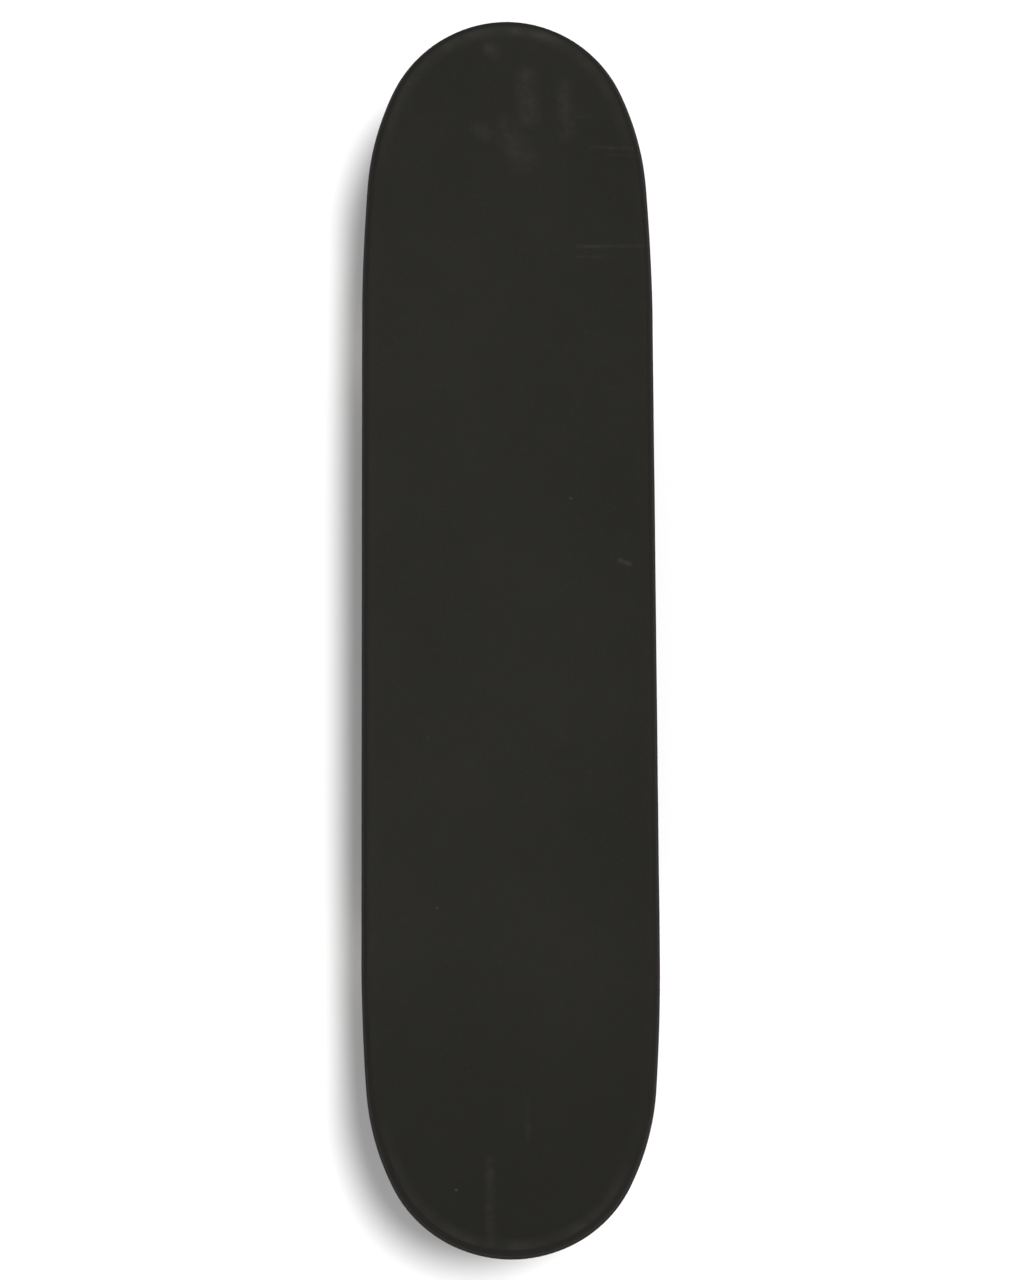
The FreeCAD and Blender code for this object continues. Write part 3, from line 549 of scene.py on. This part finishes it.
def veneer_material(name, dark, light, along=True, polish=0.36, wear=0.0):
    """Stained maple whose grain runs along the deck, or across it in a crossband."""
    g = Graph(name)
    g.sheet = g.attribute("sheet", "Vector")
    squeeze = (5.0, 260.0, 400.0) if along else (260.0, 5.0, 400.0)
    lines = (14.0, 1500.0, 1500.0) if along else (1500.0, 14.0, 1500.0)
    figure = g.noise(1.0, 4.0, 0.6, g.stretched(squeeze, g.sheet), 0.6)
    pores = g.noise(1.0, 2.0, 0.6, g.stretched(lines, g.sheet))
    broad = g.noise(14.0, 3.0, 0.5, g.sheet)
    base = g.mix(g.span(figure, 0.30, 0.72), dark, light)
    base = g.mix(g.span(pores, 0.58, 0.72, 0.0, 0.55), base, tuple(c * 0.45 for c in dark))
    base = g.mix(g.span(broad, 0.35, 0.7, 0.0, 0.25), base, tuple(c * 0.7 for c in dark))
    rough = g.span(figure, 0.3, 0.7, polish, polish + 0.12)
    if wear:
        rubbed = g.noise(1.0, 3.0, 0.7, g.stretched((900.0, 9.0, 1.0), g.sheet), 0.4)
        area = g.span(g.noise(11.0, 3.0, 0.6, g.sheet), 0.52, 0.66)
        middle = g.span(g.math("ABSOLUTE", g.split(g.sheet)[0]), 0.17, 0.05)
        scratched = g.math("MULTIPLY", g.math("MULTIPLY", g.span(rubbed, 0.60, 0.68), area), middle)
        base = g.mix(g.math("MULTIPLY", scratched, wear), base, (0.34, 0.25, 0.16))
        rough = g.math("ADD", rough, g.math("MULTIPLY", scratched, 0.25), clamp=True)
    lacquered = g.span(g.attribute("rim"), 0.0018, 0.0040)
    g.set(
        Base_Color=g.mix(lacquered, g.mix(0.88, base, (0.0098, 0.0095, 0.0086)), base),
        Roughness=g.math("MAXIMUM", rough, g.math("SUBTRACT", 0.85, g.math("MULTIPLY", lacquered, 0.6))),
        Specular_IOR_Level=0.10,
        Coat_Weight=g.math("MULTIPLY", lacquered, 0.10),
        Coat_Roughness=0.35,
        Normal=g.bump(g.math("ADD", figure, g.math("MULTIPLY", pores, 0.6)), 0.00010, 0.6),
    )
    return g.material


def cast_material(name, tone, grind=False):
    """Tumbled raw aluminium: matt skin, small pits, brighter where it has rubbed."""
    g = Graph(name)
    skin = g.noise(620.0, 3.0, 0.65)
    pits = g.cells(520.0, feature="SMOOTH_F1")
    clouds = g.noise(55.0, 4.0, 0.6)
    base = g.mix(g.span(clouds, 0.3, 0.7), tuple(c * 0.78 for c in tone), tone)
    base = g.mix(g.span(skin, 0.45, 0.75, 0.0, 0.35), base, tuple(min(c * 1.2, 0.95) for c in tone))
    rough = g.span(clouds, 0.3, 0.7, 0.36, 0.52)
    height = g.math("ADD", g.math("MULTIPLY", skin, 0.5), g.span(pits, 0.0, 0.5))
    if grind:
        x, y, z = g.split(g.place)[:3]
        low = g.span(z, 0.0195, 0.0155)
        centre = g.span(g.math("ABSOLUTE", y), 0.050, 0.030)
        streaks = g.noise(1.0, 3.0, 0.6, g.stretched((30.0, 1900.0, 60.0)))
        worn = g.math("MULTIPLY", g.math("MULTIPLY", low, centre), g.span(streaks, 0.35, 0.6, 0.35, 1.0))
        base = g.mix(worn, base, (0.80, 0.80, 0.81))
        rough = g.math("SUBTRACT", rough, g.math("MULTIPLY", worn, 0.16), clamp=True)
        height = g.math("ADD", height, g.math("MULTIPLY", g.math("MULTIPLY", streaks, worn), 1.6))
    g.set(Base_Color=base, Metallic=1.0, Roughness=rough, Normal=g.bump(height, 0.00016, 0.5))
    return g.material


def steel_material(name, tone, rough=0.28, lines=None, edge=0.25):
    """Plated or ground steel with faint handling marks and rounded edges."""
    g = Graph(name)
    film = g.noise(160.0, 4.0, 0.6)
    specks = g.noise(1500.0, 2.0, 0.5)
    base = g.mix(g.span(film, 0.3, 0.72), tone, tuple(c * 0.72 for c in tone))
    base = g.mix(g.span(specks, 0.62, 0.75, 0.0, 0.4), base, tuple(c * 0.5 for c in tone))
    source = g.stretched(lines) if lines else g.place
    fine = g.noise(1.0 if lines else 2400.0, 2.0, 0.5, source)
    g.set(
        Base_Color=base,
        Metallic=1.0,
        Roughness=g.span(film, 0.25, 0.75, rough, rough + 0.16),
        Normal=g.bump(fine, 0.00003, 0.5, g.rounded(edge * MM) if edge else None),
    )
    return g.material


def urethane_material(name, tone, rough=0.4, subsurface=0.0, dirt=None):
    """Cast urethane. dirt is the wheel centres' x, for road dust on the tread and in the dish."""
    g = Graph(name)
    mottle = g.noise(90.0, 3.0, 0.55)
    fine = g.noise(900.0, 2.0, 0.5)
    base = g.mix(g.span(mottle, 0.3, 0.7), tone, tuple(c * 0.9 for c in tone))
    roughness = g.span(mottle, 0.3, 0.7, rough, rough + 0.12)
    height = fine
    if dirt is not None:
        x, y, z = g.split(g.place)[:3]
        from_axles = [g.math("ABSOLUTE", g.math("SUBTRACT", x, centre)) for centre in dirt]
        off_x = g.math("MINIMUM", *from_axles)
        off_z = g.math("SUBTRACT", z, AXLE_Z)
        radius = g.vector("LENGTH", g.combine(off_x, 0.0, off_z))
        tread = g.span(radius, 0.0243, 0.0257)
        around = g.noise(1.0, 4.0, 0.65, g.stretched((300.0, 900.0, 300.0)))
        dust = g.math("MULTIPLY", tread, g.span(around, 0.38, 0.68, 0.25, 0.85))
        dish = g.math("MULTIPLY", g.span(radius, 0.0150, 0.0118), g.span(mottle, 0.3, 0.7, 0.2, 0.6))
        base = g.mix(g.math("MAXIMUM", dust, dish), base, (0.30, 0.275, 0.235))
        nick = g.cells(260.0, feature="F1")
        cuts = g.math("MULTIPLY", g.span(nick, 0.16, 0.05), g.span(radius, 0.0215, 0.0240))
        base = g.mix(g.math("MULTIPLY", cuts, 0.5), base, (0.16, 0.145, 0.125))
        roughness = g.math("ADD", roughness, g.math("MULTIPLY", dust, 0.3), clamp=True)
        height = g.math("SUBTRACT", g.math("MULTIPLY", around, 1.0), g.math("MULTIPLY", cuts, 2.0))
    g.set(Base_Color=base, Roughness=roughness, Specular_IOR_Level=0.45, Normal=g.bump(height, 0.00006, 0.5))
    if subsurface:
        g.set(Subsurface_Weight=subsurface, Subsurface_Radius=(0.6, 0.45, 0.3), Subsurface_Scale=0.004)
    return g.material


def moulded_material(name, tone, rough=0.45):
    """Moulded nylon or rubber with a fine spark texture."""
    g = Graph(name)
    grain = g.noise(1400.0, 3.0, 0.6)
    patches = g.noise(120.0, 3.0, 0.5)
    base = g.mix(g.span(patches, 0.3, 0.7), tone, tuple(min(c * 1.7 + 0.004, 1) for c in tone))
    g.set(
        Base_Color=base,
        Roughness=g.span(grain, 0.25, 0.75, rough, rough + 0.18),
        Specular_IOR_Level=0.4,
        Normal=g.bump(grain, 0.00005, 0.5, g.rounded(0.15 * MM)),
    )
    return g.material


# ================================================================ deck
def build_deck():
    dent = DENT_PLACE
    rows_at_dent = [round(dent + step * MM, 5) for step in (-5, -3, -1.6, -0.7, 0, 0.8, 1.7, 3.2, 5)]
    plies = Pattern(22, 18, 28, 48, 26, rows_at_dent)
    looks = {
        "outer": veneer_material(
            "face_veneer_look", (0.020, 0.015, 0.012), (0.046, 0.034, 0.027), polish=0.46, wear=0.55
        ),
        "long": veneer_material("core_veneer_look", (0.020, 0.017, 0.015), (0.040, 0.033, 0.028), polish=0.5),
        "cross": veneer_material(
            "crossband_look", (0.060, 0.036, 0.022), (0.120, 0.076, 0.046), along=False, polish=0.5
        ),
    }
    thickness = PLIES * PLY

    def edge_inset(depth):
        """How far the deck's rounded edge stands in from its outline at one depth."""
        near = min(depth, thickness - depth)
        return EDGE_ROUND - math.sqrt(EDGE_ROUND**2 - max(EDGE_ROUND - near, 0) ** 2)

    nick = np.exp(-(((plies.rim_u - dent) / (1.6 * MM)) ** 2)) * (plies.rim_v > 0)
    for ply in range(PLIES):
        top, bottom = ply * PLY, (ply + 1) * PLY
        wobble = rim_wobble(plies, 0.16 * MM, 0.03, ply) + rim_wobble(plies, 0.05 * MM, 0.004, ply + 20)
        damage = nick * (1.1 - 0.22 * ply) * MM if ply < 5 else 0

        def inset(share):
            glue = 0.10 * MM * abs(2 * share - 1) ** 6
            return edge_inset(top + share * PLY) + glue + wobble + damage

        rings = [(top + share * PLY, inset(share)) for share in (0.06, 0.16, 0.35, 0.5, 0.65, 0.84, 0.94)]
        obj = plies.slab(f"ply_{ply + 1}_veneer", (top, inset(0)), (bottom, inset(1)), rings)
        look = "outer" if ply in (0, PLIES - 1) else "cross" if ply in (2, 4) else "long"
        dress(obj, looks[look])
        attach(obj, "deck")
        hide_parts(f"deck_ply_{ply + 1}")

    fine = Pattern(30, 26, 40, 110, 90)
    trim = GRIP_SETBACK + rim_wobble(fine, 0.30 * MM, 0.012, 50) + rim_wobble(fine, 0.10 * MM, 0.003, 51)

    def texture(u, v):
        """Small hollows in the tape's top, in metres below its full thickness."""
        drop = np.empty(u.shape)
        for index, _ in np.ndenumerate(u):
            spot = Vector((u[index], v[index], 0))
            fine_part = noise.noise(spot * 420.0) + 1
            broad = noise.noise(spot * 24.0) + 1
            drop[index] = 0.020 * fine_part + 0.035 * broad
        return drop * MM

    rings = [(-GRIP * 0.80, trim + 0.03 * MM), (-GRIP * 0.45, trim)]
    tape = fine.slab("grip_sheet", (-GRIP, trim + 0.22 * MM), (0.0, trim), rings, texture)
    dress(tape, grip_material())
    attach(tape, "deck")
    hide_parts("grip_tape")


# ================================================================ trucks
def nylon_collar(name, place, bore, outside, start, end, body, material):
    """The lock nut's plastic insert, just proud of its steel collar."""
    profile = rounded_profile([(bore, start), (outside, start), (outside, end, 0.12), (bore, end, 0.12)], 3)
    obj = new_object(name, *turned(profile, place, 48), smooth_below=40)
    dress(obj, material)
    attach(obj, body)


def soften(obj, voxel, smoothing, ripple):
    """Turns a machined-looking CAD casting's edges into cast ones, by modifiers only."""
    remesh = obj.modifiers.new("cast_skin", "REMESH")
    remesh.mode = "VOXEL"
    remesh.voxel_size = voxel
    remesh.use_smooth_shade = True
    smooth = obj.modifiers.new("cast_radii", "SMOOTH")
    smooth.factor = 0.5
    smooth.iterations = smoothing
    texture = bpy.data.textures.new(obj.name + "_ripple", "CLOUDS")
    texture.noise_scale = 0.004
    displace = obj.modifiers.new("cast_ripple", "DISPLACE")
    displace.texture = texture
    displace.strength = ripple
    displace.mid_level = 0.62


def build_trucks():
    cast = cast_material("hanger_look", (0.60, 0.60, 0.61), grind=True)
    plate = cast_material("baseplate_look", (0.56, 0.56, 0.57))
    zinc = steel_material("zinc_look", (0.66, 0.655, 0.63))
    axle_steel = steel_material("axle_look", (0.56, 0.56, 0.57), 0.22, edge=0)
    black_steel = steel_material("black_oxide_look", (0.045, 0.045, 0.05), 0.34, edge=0)
    nylon = moulded_material("nylon_look", (0.030, 0.030, 0.032))
    insert = moulded_material("insert_look", (0.62, 0.60, 0.55), 0.35)
    bushing = urethane_material("bushing_look", (0.030, 0.030, 0.031), 0.38)
    for end, (x, facing) in TRUCKS.items():
        about = Matrix.Rotation(0 if facing > 0 else math.pi, 4, "Z")
        truck = Matrix.Translation((x, 0, DECK_BOTTOM)) @ about
        hanger_body = f"{end}_hanger"
        for node, look in (
            ("baseplate", plate),
            ("hanger", cast),
            ("pivot_cup", nylon),
            ("cup_washer", zinc),
            ("flat_washer", zinc),
            ("kingpin_nut", zinc),
            ("axle_nuts", zinc),
            ("speed_rings", zinc),
            ("board_side_bushing", bushing),
            ("road_side_bushing", bushing),
        ):
            dress(NODES[f"{end}_{node}"], look)
        soften(NODES[f"{end}_hanger"], 0.62 * MM, 5, 0.16 * MM)
        soften(NODES[f"{end}_baseplate"], 0.55 * MM, 3, 0.10 * MM)

        length = AXLE_LENGTH
        bar = threaded_rod(
            truck @ frame_at(Vector((0, -length / 2, AXLE_DROP)) * MM, (0, 1, 0)),
            AXLE_RADIUS,
            length,
            ((0.2, 8.0), (length - 8.0, length - 0.2)),
            THREAD_PITCH,
            0.45,
        )
        obj = new_object(f"{end}_axle_bar", *bar, smooth_below=40)
        dress(obj, axle_steel)
        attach(obj, hanger_body)
        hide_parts(f"{end}_axle")

        tip = RING + DOWN_KINGPIN * 25.5 * MM
        head_top = RING - DOWN_KINGPIN * (42.0 / math.cos(RAKE) - 4.4) * MM
        shank = (tip - head_top).length / MM
        pin_place = truck @ frame_at(head_top, DOWN_KINGPIN)
        threads = ((shank - 12, shank - 0.3),)
        pin = threaded_rod(pin_place, KINGPIN_RADIUS, shank, threads, THREAD_PITCH, 0.5, 0.8)
        head_place = truck @ frame_at(head_top + DOWN_KINGPIN * 6 * MM, DOWN_KINGPIN * -1)
        head = prism(head_place, KINGPIN_FLATS, 6.0, 0.8)
        obj = new_object(f"{end}_kingpin_bolt", *joined([pin, head]), smooth_below=40)
        dress(obj, zinc)
        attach(obj, "deck")
        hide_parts(f"{end}_kingpin")

        seat = RING + DOWN_KINGPIN * 16.0 * MM
        insert_seat = truck @ frame_at(seat, DOWN_KINGPIN)
        nylon_collar(f"{end}_kingpin_insert", insert_seat, 4.78, 5.55, 6.0, 8.12, "deck", insert)
        for side, sign in WHEEL_SIDES.items():
            place = truck @ frame_at(Vector((0, sign * facing * 87.5, AXLE_DROP)) * MM, (0, sign * facing, 0))
            nylon_collar(f"{end}_{side}_axle_insert", place, 3.99, 4.85, 5.0, 6.6, hanger_body, insert)

    bolts = []
    for x, facing in TRUCKS.values():
        for along in (-1, 1):
            for side in (-1, 1):
                top = Vector((x + along * BOLT_HALF_LENGTH, side * BOLT_HALF_WIDTH, DECK_TOP))
                place = frame_at(top, (0, 0, -1))
                bolts.append(threaded_rod(place, 2.4, 23.0, ((12.0, 22.8),), 0.8, 0.32, 0.4, 32))
                head = [(0.4, 0.02), (4.55, 0.02), (4.55, 0.2), (2.4, 2.3), (0.4, 2.3)]
                bolts.append(turned(head, place, 32))
                insert_place = frame_at(top + Vector((0, 0, -16.5)) * MM, (0, 0, -1))
                number = len(bolts) // 2
                nylon_collar(f"mounting_insert_{number}", insert_place, 2.42, 3.1, 4.0, 5.1, "deck", insert)
    obj = new_object("truck_bolts", *joined(bolts), smooth_below=40)
    dress(obj, black_steel)
    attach(obj, "deck")
    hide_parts("mounting_bolts")
    dress(NODES["mounting_nuts"], zinc)


# ================================================================ wheels
def build_wheels():
    centres = tuple(x for x, _ in TRUCKS.values())
    urethane = urethane_material("wheel_look", (0.78, 0.745, 0.655), 0.36, 0.25, centres)
    race = steel_material("race_look", (0.70, 0.70, 0.70), 0.16, edge=0.2)
    seal = moulded_material("seal_look", (0.020, 0.020, 0.021), 0.38)
    inside, outside = -4.0, 28.0
    wheel_profile = rounded_profile(
        [
            (9.4, 7.0),
            (11.0, 7.0),
            (11.0, 0.0, 0.3),
            (12.0, 0.0, 0.3),
            (16.5, inside, 1.5),
            (17.6, inside),
            (17.8, inside + 0.35),
            (18.2, inside + 0.35),
            (18.4, inside),
            (21.0, inside, 2.4),
            (26.0, 2.5, 5.0),
            (26.0, 11.85),
            (25.93, 12.0),
            (26.0, 12.15),
            (26.0, 21.5, 5.0),
            (21.0, outside, 2.4),
            (18.4, outside),
            (18.2, outside - 0.35),
            (17.8, outside - 0.35),
            (17.6, outside),
            (16.5, outside, 1.5),
            (12.0, 24.0, 0.3),
            (11.0, 24.0, 0.3),
            (11.0, 17.0),
            (9.4, 17.0),
        ],
        7,
    )
    for end, (x, _) in TRUCKS.items():
        for side, sign in WHEEL_SIDES.items():
            hub = frame_at(Vector((x, sign * WHEEL_INNER_BEARING, AXLE_Z)), (0, sign, 0))
            name = f"{end}_{side}"
            body = f"{name}_wheel"
            obj = new_object(f"{name}_urethane", *turned(wheel_profile, hub, 144), smooth_below=30)
            dress(obj, urethane)
            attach(obj, body)
            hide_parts(f"{name}_wheel")

            rings = []
            for start in (0.0, 17.0):
                for low, out in ((0.35, -1), (6.15, 1)):
                    face = low if out < 0 else low + 0.5
                    back = low + 0.5 if out < 0 else low
                    step = -0.16 * out
                    corners = [
                        (6.15, back),
                        (6.15, face, 0.1),
                        (6.85, face, 0.1),
                        (7.0, face + step),
                        (8.2, face + step),
                        (8.35, face, 0.1),
                        (9.2, face),
                        (9.2, back),
                    ]
                    profile = [(r, start + z) for r, z in rounded_profile(corners, 3)]
                    rings.append(turned(profile if out < 0 else profile[::-1], hub, 72))
            obj = new_object(f"{name}_seals", *joined(rings), smooth_below=40)
            dress(obj, seal)
            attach(obj, body)
            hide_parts(f"{name}_bearing_shields")
            for node in ("outer_races", "inner_races", "ball_cages", "bearing_spacer"):
                dress(NODES[f"{name}_{node}"], race)


# ================================================================ floor, light and camera
def build_stage():
    half = 30.0
    corners = [(-half, -half, 0), (half, -half, 0), (half, half, 0), (-half, half, 0)]
    floor = new_object("floor", corners, [(0, 1, 2, 3)])
    g = Graph("floor_look")
    g.set(Base_Color=(0.80, 0.80, 0.80), Roughness=0.95, Specular_IOR_Level=0.0)
    dress(floor, g.material)

    world = bpy.data.worlds.new("studio")
    bpy.context.scene.world = world
    world.use_nodes = True
    tree = world.node_tree
    direction = tree.nodes.new("ShaderNodeTexCoord").outputs["Generated"]
    height = tree.nodes.new("ShaderNodeSeparateXYZ")
    tree.links.new(direction, height.inputs[0])
    ramp = tree.nodes.new("ShaderNodeValToRGB")
    ramp.color_ramp.interpolation = "EASE"
    ramp.color_ramp.elements[0].position = 0.0
    ramp.color_ramp.elements[0].color = (1.0, 1.0, 1.0, 1)
    ramp.color_ramp.elements[1].position = 0.75
    ramp.color_ramp.elements[1].color = (0.46, 0.46, 0.46, 1)
    tree.links.new(height.outputs[2], ramp.inputs[0])
    tree.links.new(ramp.outputs[0], tree.nodes["Background"].inputs["Color"])
    tree.nodes["Background"].inputs["Strength"].default_value = 1.0

    key = bpy.data.lights.new("key", "SUN")
    key.energy = 2.85
    key.angle = math.radians(14.0)
    lamp = bpy.data.objects.new("key", key)
    bpy.context.scene.collection.objects.link(lamp)
    toward = Vector((-0.05, 0.208, 1.0))
    lamp.rotation_euler = toward.to_track_quat("Z", "Y").to_euler()


def build_camera():
    """Straight above the deck, tipped a little so that the nose is nearer, with the tail at the top."""
    distance = 2.4
    tilt, roll = math.radians(9.015), math.radians(-0.298)
    focal, centre = 3691.0, (508.97, 633.95)
    width, height = 1024, 1280
    back = Vector((math.sin(tilt), 0, math.cos(tilt)))
    right = Vector((0, 1, 0))
    up = back.cross(right)
    rolled_right = right * math.cos(roll) + up * math.sin(roll)
    rolled_up = up * math.cos(roll) - right * math.sin(roll)
    data = bpy.data.cameras.new("camera")
    data.sensor_width = 36.0
    data.sensor_fit = "AUTO"
    data.lens = focal * data.sensor_width / height
    data.shift_x = (width / 2 - centre[0]) / height
    data.shift_y = (centre[1] - height / 2) / height
    data.clip_end = 200.0
    obj = bpy.data.objects.new("camera", data)
    bpy.context.scene.collection.objects.link(obj)
    turn = Matrix((rolled_right, rolled_up, back)).transposed().to_4x4()
    obj.matrix_world = Matrix.Translation(Vector((0, 0, DECK_TOP)) + back * distance) @ turn
    bpy.context.scene.camera = obj


bpy.context.scene.view_settings.view_transform = "Standard"
build_stage()
build_camera()
build_deck()
build_trucks()
build_wheels()

bpy.context.view_layer.update()
